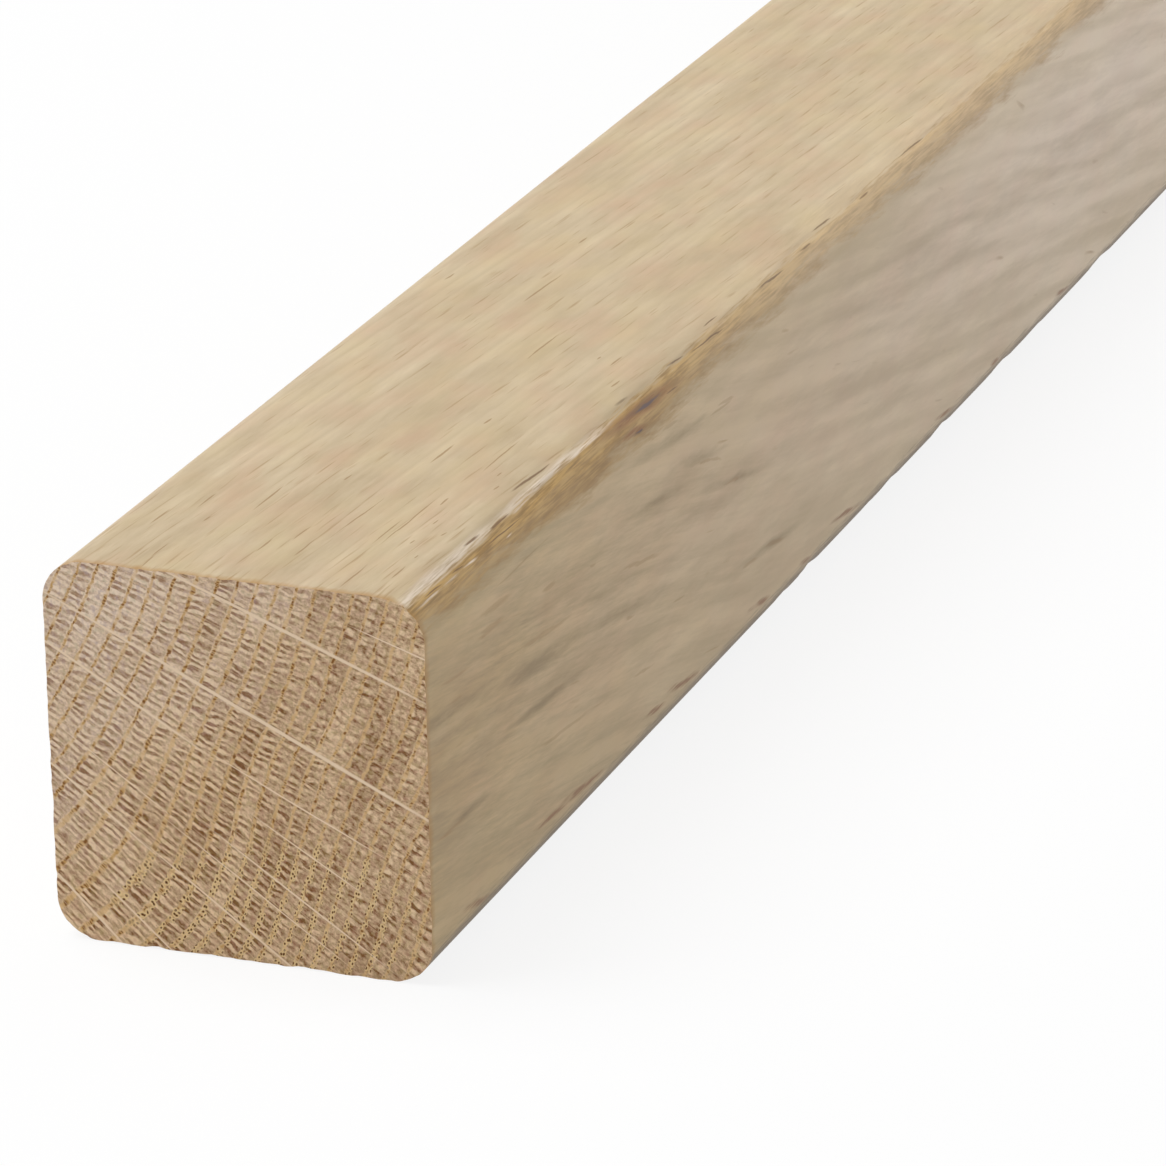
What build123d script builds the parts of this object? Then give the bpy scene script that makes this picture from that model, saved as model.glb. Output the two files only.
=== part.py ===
from build123d import *
import os

# A square oak handrail: one planed length of solid timber with its four long edges
# rounded alike, sawn square at both ends. Lengths are in millimetres. The rail lies on
# its underside, with its length along X and the origin at the middle of the underside.

# Driving dimensions
rail_length = 1000
rail_width = 45
rail_height = 45
edge_radius = 5

# Hollows that the cutter tore out of the lower front edge. Each row is the distance from
# the near end to the middle of the hollow, its length along the edge, and its depth.
torn_hollows = [
    (121, 6, 0.25),
    (131.5, 8, 0.55),
    (156, 6, 0.15),
    (165, 9, 0.3),
    (188, 10, 0.45),
    (215, 12, 0.35),
    (232, 9, 0.2),
    (264, 14, 0.45),
]

# The sawn end that faces the viewer
near_end_x = -rail_length / 2

# The centre line of the lower front round, and the way straight out of it
round_y = -(rail_width / 2 - edge_radius)
round_z = edge_radius
outwards = Vector(0, -1, -1).normalized()

with BuildPart() as handrail:
    # The square section, standing on the underside, drawn out along the length
    with BuildSketch(Plane.YZ.offset(near_end_x)):
        Rectangle(rail_width, rail_height, align=(Align.CENTER, Align.MIN))
    extrude(amount=rail_length)

    # The long edges are rounded over, and the sawn edges stay crisp
    fillet(handrail.edges().filter_by(Axis.X), radius=edge_radius)

    # Each torn hollow is a shallow scoop straight across the round. Seen from the side it
    # is the arc through both its tips and its deepest point.
    for distance, length, depth in torn_hollows:
        scoop_radius = ((length / 2) ** 2 + depth**2) / (2 * depth)
        round_middle = Vector(near_end_x + distance, round_y, round_z)
        scoop_middle = round_middle + outwards * (edge_radius - depth + scoop_radius)
        with BuildSketch(Plane(scoop_middle, x_dir=(1, 0, 0), z_dir=(0, 1, -1))):
            Circle(scoop_radius)
        extrude(amount=edge_radius, both=True, mode=Mode.SUBTRACT)

handrail.part.label = "handrail"

os.makedirs("parts", exist_ok=True)
export_step(handrail.part, "parts/handrail.step")
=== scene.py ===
import math

import bpy
import numpy as np
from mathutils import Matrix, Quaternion, Vector


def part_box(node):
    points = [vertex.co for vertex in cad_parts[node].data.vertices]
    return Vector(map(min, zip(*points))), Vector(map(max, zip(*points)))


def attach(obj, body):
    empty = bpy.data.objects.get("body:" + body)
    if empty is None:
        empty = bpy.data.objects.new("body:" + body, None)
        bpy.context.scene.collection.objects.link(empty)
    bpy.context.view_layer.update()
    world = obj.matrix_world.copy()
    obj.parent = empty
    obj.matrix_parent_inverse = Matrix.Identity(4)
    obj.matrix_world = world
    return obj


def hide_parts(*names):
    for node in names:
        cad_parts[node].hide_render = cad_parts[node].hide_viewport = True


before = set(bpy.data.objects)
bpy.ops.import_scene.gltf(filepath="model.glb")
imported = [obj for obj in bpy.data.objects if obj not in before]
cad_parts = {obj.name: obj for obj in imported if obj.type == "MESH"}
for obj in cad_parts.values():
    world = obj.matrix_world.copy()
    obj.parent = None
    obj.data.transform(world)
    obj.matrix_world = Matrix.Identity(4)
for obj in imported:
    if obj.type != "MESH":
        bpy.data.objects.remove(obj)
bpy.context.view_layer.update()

# A square oak handrail, planed and bare, lying on its underside. Lengths are in
# millimetres until a mesh is made. Distances along the rail start at the near end. The
# girth of a point on the planed faces is measured round the section from the middle of
# the lower back edge: across the underside, up the front, across the top, down the back.

MM = 0.001
LOW, HIGH = (np.array(corner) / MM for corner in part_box("handrail"))
LENGTH, WIDTH, HEIGHT = HIGH - LOW
NEAR_END = LOW[0]
FRONT = LOW[1]
EDGE_RADIUS = 5.0

# Hollows torn out of the lower front edge: the distance to the middle, the length along
# the edge and the depth. They are the same as in the solid that the mesh replaces.
TORN_HOLLOWS = [
    (121, 6, 0.25),
    (131.5, 8, 0.55),
    (156, 6, 0.15),
    (165, 9, 0.3),
    (188, 10, 0.45),
    (215, 12, 0.35),
    (232, 9, 0.2),
    (264, 14, 0.45),
]

# Small notches broken out of the near end's lower edge: the distance across from the
# rail's middle, the width at half the depth, and the depth. NOTCH_REACH is how far along
# the rail they die out.
END_NOTCHES = [
    (10.5, 1.6, 0.25),
    (4.5, 2.2, 0.13),
    (-0.8, 5.0, 0.1),
    (-7.5, 4.0, 0.16),
]
NOTCH_REACH = 2.25

# The planed faces' relief: the mean depth of the planer's waves and of the torn grain along
# the upper front edge, the length and width of one lump, and half the width of the torn band
PLANER_DEPTH = 0.05
PLANER_LENGTH = 45
PLANER_WIDTH = 12
TORN_DEPTH = 0.12
TORN_LENGTH = 7
TORN_WIDTH = 0.55
TORN_BAND = 2.2

# The frayed sawn edges: the greatest depth, the width of one chip, and how far along the
# rail they reach. Then the sawn ends' waves: the mean depth and the width of one wave.
FRAY_DEPTH = 0.14
FRAY_WIDTH = 1.1
FRAY_REACH = 0.8
SAW_DEPTH = 0.05
SAW_WIDTH = 6

# Where the rail was cut from the tree. The pith passes beyond the back of the near end,
# above the top, and drifts and bows as it goes along the rail. The outer rings bulge
# outwards where they turn under the section, and all of them waver a little, in lumps of
# these sizes.
PITH_Y = 90
PITH_Z = 74
PITH_DRIFT_Y = 0.04
PITH_DRIFT_Z = 0.05
PITH_BOW = 23.4
PITH_BOW_STRIDE = 180
BULGE_TURNS = (46, 71)
BULGE_RADII = (87, 110)
BULGE = 5.2
RING_WAVER = 0.9
WAVER_SIZES = (60, 11, 11)

# A turn about the pith is given in millimetres at this radius
TURN_RADIUS = 100

# The radius where the first ring starts and about that of its middle, the rings' spacing,
# and how it widens and narrows over spells of years
FIRST_RING = 78.1
FIRST_MIDDLE = FIRST_RING + 1
RING_PITCH = 2.115
SPELL_SWING = 0.6
SPELL_START = 93
SPELL_STRIDE = 6.73

# On the sawn ends, the two sets of dark bars in the latewood, towards the back and towards
# the front: their spacing, how they slant from ring to ring, and how much thinner they are
# than the gaps. Then the spacing of the vessels in a ring line, and of the open pores.
BAR_SETS = [(0.84, 1.2, -0.1), (1.15, -0.7, 0.25)]
BEAD_PITCH = 0.55
PORE_PITCH = 0.62
PORE_ROW = 0.5

# Where on a sawn end the saw cut clean and the pores are open: the middle of this patch, and
# how far it reaches each way
CLEAN_CUT_MIDDLE = (0, -3, 6)
CLEAN_CUT_REACH = (10000, 21, 12)

# How the fibres lean towards the front and downwards as they run along the rail
FIBRE_LEAN_Y = 0.045
FIBRE_LEAN_Z = 0.075

# How the rings cross the front: the drop for each millimetre along the rail, the further
# drop beside the knot, with the distances where it starts and ends, and their spacing
RING_SLANT = 0.175
KNOT_DROP = 3.6
KNOT_REACH = (62, 130)
WAVE_PITCH = 4.6

# The girth of one side and at the middle of the front. Each pair after them is where a look
# begins and where it is full, in girth: a side's own look, counted from the side's middle,
# the lower part of the front with painted light thrown up from the floor and the lighter
# upper part, the golden band on the upper front edge and the painted light on the round past
# the knot, each from above and from below, and the painted shade under the lower front edge,
# from above and from below.
SIDE_GIRTH = WIDTH - 2 * EDGE_RADIUS + math.pi / 2 * EDGE_RADIUS
FRONT_GIRTH = 1.5 * SIDE_GIRTH
SIDE_FADE = (0.54 * SIDE_GIRTH, 0.44 * SIDE_GIRTH)
LOWER_FRONT_PAINTED_BOUNCE = (FRONT_GIRTH, 1.05 * SIDE_GIRTH)
UPPER_FRONT = (1.7 * SIDE_GIRTH, 1.9 * SIDE_GIRTH)
BAND_TOP = (87, 86)
BAND_FOOT = (82.4, 85.4)
CREST_LIGHT_TOP = (89.5, 87.5)
CREST_LIGHT_FOOT = (82.4, 85.5)
UNDERSIDE_SHADE_TOP = (46.2, 44.6)
UNDERSIDE_SHADE_FOOT = (40, 42)

# How looks change along the rail: the distances where a change starts and ends, and the
# values before and after it
FIBRE_CONTRAST = (0, 80, 0.5, 0)
# The front's painted light: warm and darker at the near end, a pale painted reflection further
# on
FRONT_PAINTED_LIGHT = (0, 240, 0, 1)
STROKE_ROUGHNESS = (30, 130, 0.82, 0.55)
STROKE_AMOUNT = (30, 110, 0.7, 0.28)
WAVE_AMOUNT = (30, 100, 0.05, 0.16)
# Painted shade on the front near the end
NEAR_PAINTED_SHADE = (22, 0, 0, 0.18)
MORE_VESSELS = (0, 50, 0.04, 0)
BAND_WIDENING = (0, 45, 0, 1.7)
BAND_NARROWING = (78, 95, 0, 0.9)
BAND_AMOUNT = (76, 105, 0.85, 0.64)
CREST_LIGHT_AMOUNT = (70, 140, 0, 0.32)
GREY_AMOUNT = (10, 50, 0.85, 0.55)
CRACK_AMOUNT = (60, 130, 0.9, 0.75)

# The sizes of the noise's lumps on the planed faces: fibres, which run along the rail,
# strands and vessels, which run along the rings, patches of colour, the front's dark strokes
# and the sway of its waves, and the threads and ripples of the torn edge
FIBRES = (18, 2.4, 2.4)
STRANDS = (40, 14, 4)
VESSELS = (8, 2.5, 0.4)
PATCHES = (12, 6, 6)
STROKES = (50, 9, 3.2)
WAVE_SWAY = (60, 15, 12)
THREADS = (5, 0.26)
RIPPLES = (8, 1.6, 1)

# How far the ripples move a mark to and fro along the rail and across it, and how far the
# threads move the edges of a band
RIPPLE_REACH = (6, 0.6, 0)
THREAD_REACH = 2.2

# The sizes of the lumps on the sawn ends, where nothing changes along the rail: wobbles of
# the lines, drifts of colour, patches of stronger bars, tints and dust
WOBBLES = (math.inf, 0.9, 0.9)
DRIFTS = (math.inf, 9, 9)
BAR_PATCHES = (math.inf, 2.4, 2.4)
TINTS = (math.inf, 0.8, 0.8)
DUST = (math.inf, 0.16, 0.16)

# More sizes there, first round the tree and then outwards in rings: the sway of the bars
# and beads, the bars' unevenness, the net's meshes and the cells. Then two with the way
# outwards first: the years' tones, in rings, and the fine rays.
BAR_SWAY = (2.1, 2)
BAR_UNEVENNESS = (0.8, 1 / 1.1)
NET = (1.15, 1 / 1.6)
CELLS = (0.3, 0.5 / RING_PITCH)
YEAR_TONES = (1 / 0.7, 14)
FINE_RAYS = (9, 0.22)

# The mesh's steps round the section and along the rail. A step along the rail is END_STEP
# at the sawn ends. It grows by NEAR_GROWTH past the near one, as quickly as NEAR_STRETCH is
# short, and over each stretch of STEP_GROWTH: the growth, the start, the end and the power.
# It shrinks to the far end by FAR_SHRINK for each millimetre. The steps are summed over
# FINE_POINTS.
EDGE_STEPS = 16
FLAT_STEPS = 44
SIDE_STEPS = 2 * EDGE_STEPS + FLAT_STEPS
RING_POINTS = 4 * SIDE_STEPS
STATIONS = 250
FINE_POINTS = 20001
END_STEP = 0.3
NEAR_GROWTH = 0.75
NEAR_STRETCH = 8.0
STEP_GROWTH = [(0.9, 150, 280, 1), (9.0, 290, 490, 1.5)]
FAR_SHRINK = 0.25

# The folds between faces that stay sharp, in degrees: those at the sawn ends
SHARP_ANGLE = 50

# Large odd numbers that scatter the values of the relief's noise
HASH_STRIDES = [73856093, 19349663, 83492791]
HASH_SEED = 7919
HASH_SPREAD = 1274126177

# Marks on the planed faces, each as the distances where it starts and ends, its girth
# there, and its width
CRACKS = [
    (17.5, 24.5, 87.3, 87.1, 0.44),
    (24.5, 31.5, 86.7, 86.6, 0.44),
    (34, 48, 88.4, 87.6, 0.42),
    (83, 89.5, 86.9, 86.4, 0.3),
    (88, 104, 86.2, 85.4, 0.3),
    (78, 82, 84.4, 84.2, 0.3),
    (98, 103.5, 87.5, 87.3, 0.3),
    (114, 126, 86.4, 85.9, 0.34),
    (130, 136, 86.1, 86.0, 0.3),
    (137, 146, 87.1, 86.8, 0.3),
    (155, 160, 86.0, 85.9, 0.34),
    (172, 184, 86.6, 86.3, 0.34),
    (3, 10, 85.9, 85.8, 0.3),
    (12, 17, 85.9, 85.7, 0.26),
    (20, 34, 85.6, 85.3, 0.26),
]
GRAIN_STREAKS = [
    (6, 11, 90.6, 90.5, 0.3),
    (14, 19, 105.4, 105.2, 0.35),
    (9, 14, 107.9, 107.7, 0.35),
    (20, 31, 113.4, 113.1, 0.35),
    (20, 25, 119.6, 119.5, 0.35),
    (13, 33, 95.8, 95.1, 0.3),
    (14, 24, 96.6, 96.4, 0.25),
    (2, 9, 118.2, 118.0, 0.3),
    (96, 112, 111.3, 110.4, 0.4),
    (40, 52, 93.7, 93.4, 0.3),
    (78, 90, 103.0, 102.7, 0.4),
    (13.5, 19, 122.5, 122.3, 0.35),
    (16, 18.5, 117.2, 117.0, 0.35),
    (14, 32, 101.8, 100.8, 0.3),
    (8, 15, 103.3, 103.0, 0.3),
    (40, 49, 100.3, 100.0, 0.4),
    (55, 58.5, 99.5, 99.3, 0.35),
    (122, 125, 112.8, 112.6, 0.4),
    (104, 107, 123.5, 123.3, 0.4),
    (0, 4, 118.0, 117.9, 0.3),
    (0, 10, 94.9, 94.7, 0.3),
    (16, 17.5, 92.8, 92.7, 0.3),
    (22.5, 24.5, 92.7, 92.6, 0.3),
    (12, 13.5, 90.5, 90.4, 0.3),
    (19.5, 21, 90.4, 90.3, 0.3),
    (39.5, 41, 91.5, 91.4, 0.3),
    (35, 37, 90.1, 90.0, 0.3),
    (72, 75, 90.0, 89.8, 0.35),
    (29, 31.5, 94.1, 94.0, 0.3),
    (33, 35.5, 107.4, 107.2, 0.35),
    (81, 83.5, 95.0, 94.8, 0.35),
    (79, 83.5, 92.7, 92.5, 0.4),
    (18, 40, 80.7, 81.0, 0.35),
    (74, 82, 80.9, 80.4, 0.6),
    (91, 101, 77.3, 76.5, 0.5),
    (5, 11, 72.6, 71.9, 0.5),
    (34, 40, 75.2, 75.0, 0.6),
    (61, 66, 62.4, 61.4, 0.6),
    (78, 83, 58.4, 57.6, 0.5),
    (86, 97, 73.2, 70.0, 0.6),
    (95, 101, 77.8, 76.6, 0.7),
    (43, 46, 60.9, 60.1, 0.4),
    (110, 122, 53.6, 51.8, 0.7),
    (103, 110, 53.8, 53.0, 0.6),
    (15, 22, 76.8, 76.3, 0.6),
    (50, 53, 72.8, 72.3, 0.5),
    (1, 13, 58.2, 57.7, 0.5),
    (96, 103, 66.8, 65.6, 0.6),
    (64, 72, 54.0, 53.0, 0.5),
    (34.5, 40.5, 75.1, 74.7, 0.8),
    (14, 27, 79.4, 78.2, 1.0),
    (15, 25, 77.4, 76.2, 0.9),
    (2, 14, 75.6, 74.4, 0.6),
    (24, 46, 71.4, 68.8, 0.8),
    (58, 76, 69.0, 65.6, 0.8),
    (30, 52, 57.4, 55.2, 0.7),
]
BROWN_STREAKS = [
    (8, 18.5, 47.2, 45.4, 1.0),
    (30, 44, 47.9, 46.9, 0.9),
    (38, 55, 47.6, 46.2, 1.2),
    (66, 76, 47.6, 46.6, 0.8),
    (75, 88, 47.9, 45.9, 1.1),
    (105, 114, 47.4, 46.2, 1.0),
    (124, 131, 46.6, 45.6, 0.9),
    (136, 151, 47.6, 46.0, 1.0),
    (181, 191, 46.8, 45.6, 1.2),
    (207, 212, 46.4, 45.6, 1.1),
    (238, 246, 46.6, 45.6, 1.1),
    (56, 86, 85.9, 84.6, 2.2),
    (63, 71, 83.9, 83.2, 1.2),
]
KNOT_CORES = [
    (68, 78, 85.25, 84.95, 0.5),
    (70.5, 75, 85.2, 85.1, 0.6),
    (66, 69, 83.3, 83.1, 0.3),
]
KNOT_EDGES = [
    (67.5, 71.5, 87.5, 87.3, 0.5),
    (66, 80, 85.6, 84.7, 1.2),
    (65, 69, 83.3, 83.0, 0.6),
]
GREY_BANDS = [
    (-10, 26, 73.4, 69.2, 3.0),
    (14, 54, 69.4, 65.4, 2.6),
    (46, 80, 65.8, 60.4, 2.4),
    (4, 19, 58.4, 57.8, 1.6),
    (62, 100, 80.6, 76.0, 2.2),
    (74, 100, 76.6, 70.6, 2.0),
    (60, 84, 74.4, 71.4, 1.6),
    (100, 128, 54.4, 51.6, 1.6),
    (20, 52, 63.4, 60.6, 1.4),
    (84, 118, 69.4, 63.0, 1.6),
]
# Torn pale fibres, and along the worn upper front edge a painted highlight
PALE_STRIPS_AND_HIGHLIGHT = [
    (-24, 40, 87.1, 86.95, 1.9),
    (20, 64, 87.0, 86.8, 1.5),
    (1, 9, 85.5, 85.4, 0.36),
    (8, 14, 85.45, 85.4, 0.34),
    (15, 20, 85.45, 85.35, 0.34),
    (27, 29, 84.7, 84.7, 0.28),
    (31, 38, 86.3, 86.3, 0.4),
    (40, 66, 86.4, 86.5, 0.8),
]

# Broad rays on the sawn end: the radii where each starts and ends, its turn about the
# pith at both, in millimetres at TURN_RADIUS, and its width
BROAD_RAYS = [
    (80, 124, 33.6, 34.9, 0.44),
    (66, 134, 45.4, 45.0, 0.48),
    (66, 103, 52.0, 52.3, 0.44),
    (98, 124, 52.0, 50.6, 0.2),
    (78, 104, 66.8, 66.5, 0.32),
    (97, 130, 66.4, 65.6, 0.26),
    (90, 110, 77.6, 77.6, 0.34),
    (97, 114, 73.9, 73.8, 0.24),
    (102, 132, 59.6, 59.5, 0.22),
    (98, 128, 62.2, 61.8, 0.16),
    (82, 102, 61.6, 61.4, 0.18),
    (106, 124, 55.2, 55.0, 0.18),
    (108, 124, 30.6, 30.8, 0.18),
]

# Half the width of the square floor, in metres, and how much light it throws back on the
# rail. Its look to the camera is part white of its own and part lit paper, which keeps the
# shadow.
FLOOR_REACH = 6.0
FLOOR_GLOW = 0.92
FLOOR_WHITE = 0.86
FLOOR_PAPER = 0.14

# The strength of the white all round
STUDIO_STRENGTH = 0.37

# The camera: its lens and film width, its place from the foot of the near end, the way it
# looks, and its roll in degrees
LENS = 196.0
FILM_WIDTH = 36.0
CAMERA_PLACE = (-584.6, -262.7, 285.4)
CAMERA_AIM = (0.87456, 0.33212, -0.35331)
CAMERA_ROLL = -1.08


def lattice_noise(points, seed):
    """Smooth noise from -1 to 1 at an array of points. Each corner of a whole-number lattice
    has a value hashed from its place, and a point blends the corners round it, with the
    share t of the way across a cell eased as 3t^2 - 2t^3."""
    whole = np.floor(points).astype(np.int64)
    share = points - whole
    eased = share * share * (3 - 2 * share)
    total = np.zeros(points.shape[:-1])
    for corner in np.ndindex(2, 2, 2):
        place = whole + np.array(corner)
        mixed = place @ np.array(HASH_STRIDES) + HASH_SEED * seed
        mixed = (mixed ^ (mixed >> 13)) * HASH_SPREAD & 0x7FFFFFFF
        value = ((mixed ^ (mixed >> 15)) & 0xFFFF) / (0xFFFF / 2) - 1
        total += value * np.prod(np.where(corner, eased, 1 - eased), axis=-1)
    return total


def section():
    """The rounded square as points (y, z), its outward normals, and the girth at each point
    and at the end. Each side runs from the middle of one edge to the middle of the next:
    half a round, the flat, half a round."""
    half_width, half_height = WIDTH / 2, HEIGHT / 2
    turn = np.linspace(0, np.pi / 4, EDGE_STEPS + 1)
    points, normals = [], []
    # Each side's way out and way along, and half its length and its distance from the middle
    sides = [
        ((0, -1), (-1, 0), half_width, half_height),
        ((-1, 0), (0, 1), half_height, half_width),
        ((0, 1), (1, 0), half_width, half_height),
        ((1, 0), (0, -1), half_height, half_width),
    ]
    for out, way, reach, distance in sides:
        flat = np.linspace(-1, 1, FLAT_STEPS + 1)[1:-1] * (reach - EDGE_RADIUS)
        lean = np.concatenate([-turn[::-1], np.zeros(len(flat)), turn])
        start = np.concatenate([
            np.full(EDGE_STEPS + 1, EDGE_RADIUS - reach), flat,
            np.full(EDGE_STEPS + 1, reach - EDGE_RADIUS)])
        sideways = start + EDGE_RADIUS * np.sin(lean)
        outward = distance - EDGE_RADIUS + EDGE_RADIUS * np.cos(lean)
        out, way = np.array(out), np.array(way)
        points.append((sideways[:, None] * way + outward[:, None] * out)[:-1])
        normals.append((np.sin(lean)[:, None] * way + np.cos(lean)[:, None] * out)[:-1])
    points, normals = np.concatenate(points), np.concatenate(normals)
    steps = np.linalg.norm(np.roll(points, -1, axis=0) - points, axis=1)
    girth = np.concatenate([[0], np.cumsum(steps)])
    return points + [0, half_height], normals, girth


def stations():
    """Distances of the mesh's cross-sections from the near end. The step grows from the
    sawn end's fine breakouts to the planed length, and again past the torn stretch, and
    shrinks towards the far end."""
    fine = np.linspace(0, LENGTH, FINE_POINTS)
    step = END_STEP + NEAR_GROWTH * (1 - np.exp(-fine / NEAR_STRETCH))
    for growth, start, end, power in STEP_GROWTH:
        step += growth * np.clip((fine - start) / (end - start), 0, 1) ** power
    step = np.minimum(step, END_STEP + FAR_SHRINK * (LENGTH - fine))
    count = np.concatenate([[0], np.cumsum(1 / step)[:-1]])
    return np.interp(np.linspace(0, count[-1], STATIONS + 1), count, fine)


def scooped(along, y, z):
    """Moves points of the lower front round in to the floor of each torn hollow, which is a
    circle seen from the side, through both its tips and its deepest point."""
    outwards = np.array([-1, -1]) / math.sqrt(2)
    centre_y, centre_z = FRONT + EDGE_RADIUS, EDGE_RADIUS
    for distance, length, depth in TORN_HOLLOWS:
        scoop_radius = ((length / 2) ** 2 + depth**2) / (2 * depth)
        away = np.clip(np.abs(along - distance), 0, scoop_radius)
        floor = EDGE_RADIUS - depth + scoop_radius - np.sqrt(scoop_radius**2 - away**2)
        height = (y - centre_y) * outwards[0] + (z - centre_z) * outwards[1]
        cut = np.maximum(height - floor, 0)
        y, z = y - outwards[0] * cut, z - outwards[1] * cut
    return y, z


def side_surface():
    """The planed sides as an array of points (station, place round the section). Each point
    of the true section goes in along its normal by the relief there: the planer's slight
    waves, torn grain on the upper front edge and frayed sawn edges."""
    outline, normals, girth = section()
    along = stations()[:, None] + np.zeros(len(outline))
    y, z = (np.broadcast_to(outline[:, k], along.shape) for k in range(2))
    round_place = np.broadcast_to(girth[:-1], along.shape)
    zeros = np.zeros(along.shape)

    slow = np.stack([along / PLANER_LENGTH, y / PLANER_WIDTH, z / PLANER_WIDTH], -1)
    relief = PLANER_DEPTH * (1 + lattice_noise(slow, seed=1))

    upper_front = girth[2 * SIDE_STEPS]
    torn_band = np.exp(-(((round_place - upper_front) / TORN_BAND) ** 2))
    fibres = np.stack([along / TORN_LENGTH, round_place / TORN_WIDTH, zeros], -1)
    relief += TORN_DEPTH * torn_band * (1 + lattice_noise(fibres, seed=2))

    end_gap = np.minimum(along, LENGTH - along)
    chips = np.stack([zeros, round_place / FRAY_WIDTH, zeros + (along > LENGTH / 2)], -1)
    frayed = np.clip(lattice_noise(chips, seed=3), 0, 1) * np.exp(-end_gap / FRAY_REACH)
    relief += FRAY_DEPTH * frayed

    # A notch has its full depth over a third of its reach and half of its width
    for across, width, depth in END_NOTCHES:
        notch = np.clip(1.5 - np.abs(y - across) / (width / 2), 0, 1) * (z < EDGE_RADIUS / 2)
        relief += depth * notch * np.clip(1.5 * (1 - along / NOTCH_REACH), 0, 1)

    y = y - normals[:, 0] * relief
    z = z - normals[:, 1] * relief
    y, z = scooped(along, y, z)
    return np.stack([NEAR_END + along, y, z], -1)


def sawn_end(rim, inwards):
    """A sawn end as a square grid of points whose border is the rim. A point is blended from
    the four borders, each weighted by how near it is, less the corners counted twice (a
    Coons patch), and goes in from the saw's plane by a slight wave that dies out at the rim."""
    size = SIDE_STEPS
    rim = np.concatenate([rim, rim[:1]])
    south = rim[: size + 1]
    west = rim[size : 2 * size + 1]
    north = rim[2 * size : 3 * size + 1][::-1]
    east = rim[3 * size : 4 * size + 1][::-1]
    u = np.linspace(0, 1, size + 1)[None, :, None]
    v = np.linspace(0, 1, size + 1)[:, None, None]
    grid = (1 - v) * south + v * north + (1 - u) * east[:, None] + u * west[:, None]
    grid -= (1 - u) * (1 - v) * rim[0] + u * (1 - v) * rim[size]
    grid -= u * v * rim[2 * size] + (1 - u) * v * rim[3 * size]
    y, z = grid[..., 1], grid[..., 2]
    # From 0 at the rim to 1 at the middle
    inside = 16 * (u * (1 - u) * v * (1 - v))[..., 0]
    across = np.stack([0 * y, y / SAW_WIDTH, z / SAW_WIDTH], -1)
    wave = SAW_DEPTH * (1 + lattice_noise(across, seed=4))
    grid[..., 0] += inwards * wave * np.clip(inside * 3, 0, 1)
    return grid


def rail_mesh():
    """The whole rail as one closed mesh: the sides' rings of points, and inside the first
    and last ring a square grid for each sawn end. The map named girth holds the distance
    from the near end and the girth, in millimetres."""
    sides = side_surface()
    girth = section()[2]
    distances = stations()
    near, far = sawn_end(sides[0], inwards=1), sawn_end(sides[-1], inwards=-1)
    inner = (SIDE_STEPS - 1) ** 2
    points = np.concatenate([
        sides.reshape(-1, 3),
        near[1:-1, 1:-1].reshape(-1, 3),
        far[1:-1, 1:-1].reshape(-1, 3)])

    # Each face of the sides goes round its corners so that it looks outwards
    ring = np.arange(RING_POINTS)
    following = (ring + 1) % RING_POINTS
    row = np.arange(STATIONS)[:, None] * RING_POINTS
    side_faces = np.stack(np.broadcast_arrays(
        row + ring, row + RING_POINTS + ring, row + RING_POINTS + following,
        row + following), -1).reshape(-1, 4)
    u = np.broadcast_to(distances[:, None], (STATIONS + 1, RING_POINTS))
    v0, v1 = girth[:-1], girth[1:]
    corners = [(u[:-1], v0), (u[1:], v0), (u[1:], v1), (u[:-1], v1)]
    side_map = np.stack(
        [np.stack(np.broadcast_arrays(*corner), -1) for corner in corners], -2).reshape(-1, 2)

    faces, maps, slots = [side_faces], [side_map], [np.zeros(len(side_faces), int)]
    for end, first_ring in enumerate((0, STATIONS * RING_POINTS)):
        size = SIDE_STEPS
        border = np.append(first_ring + ring, first_ring)
        index = np.empty((size + 1, size + 1), int)
        index[0] = border[: size + 1]
        index[:, -1] = border[size : 2 * size + 1]
        index[-1] = border[2 * size : 3 * size + 1][::-1]
        index[:, 0] = border[3 * size : 4 * size + 1][::-1]
        index[1:-1, 1:-1] = (
            len(sides) * RING_POINTS + end * inner + np.arange(inner)
        ).reshape(size - 1, size - 1)
        corners = [index[:-1, :-1], index[1:, :-1], index[1:, 1:], index[:-1, 1:]]
        # The near end looks the other way
        if end == 0:
            corners = corners[::-1]
        end_faces = np.stack(corners, -1).reshape(-1, 4)
        faces.append(end_faces)
        maps.append(points[end_faces.ravel()][:, 1:])
        slots.append(np.ones(len(end_faces), int))

    faces, maps, slots = np.concatenate(faces), np.concatenate(maps), np.concatenate(slots)
    mesh = bpy.data.meshes.new("handrail_oak")
    mesh.from_pydata((points * MM).tolist(), [], faces.tolist())
    mesh.polygons.foreach_set("material_index", slots)
    mesh.polygons.foreach_set("use_smooth", np.ones(len(faces), bool))
    mesh.uv_layers.new(name="girth").data.foreach_set("uv", maps.astype(np.float32).ravel())
    mesh.set_sharp_from_angle(angle=math.radians(SHARP_ANGLE))
    mesh.update()
    return mesh


def linear(shade):
    """Turns a colour written as #rrggbb into the linear red, green, blue, 1 of a socket."""
    channels = [int(shade[k : k + 2], 16) / 255 for k in (1, 3, 5)]
    return [c / 12.92 if c <= 0.04045 else ((c + 0.055) / 1.055) ** 2.4 for c in channels] + [1]


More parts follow.
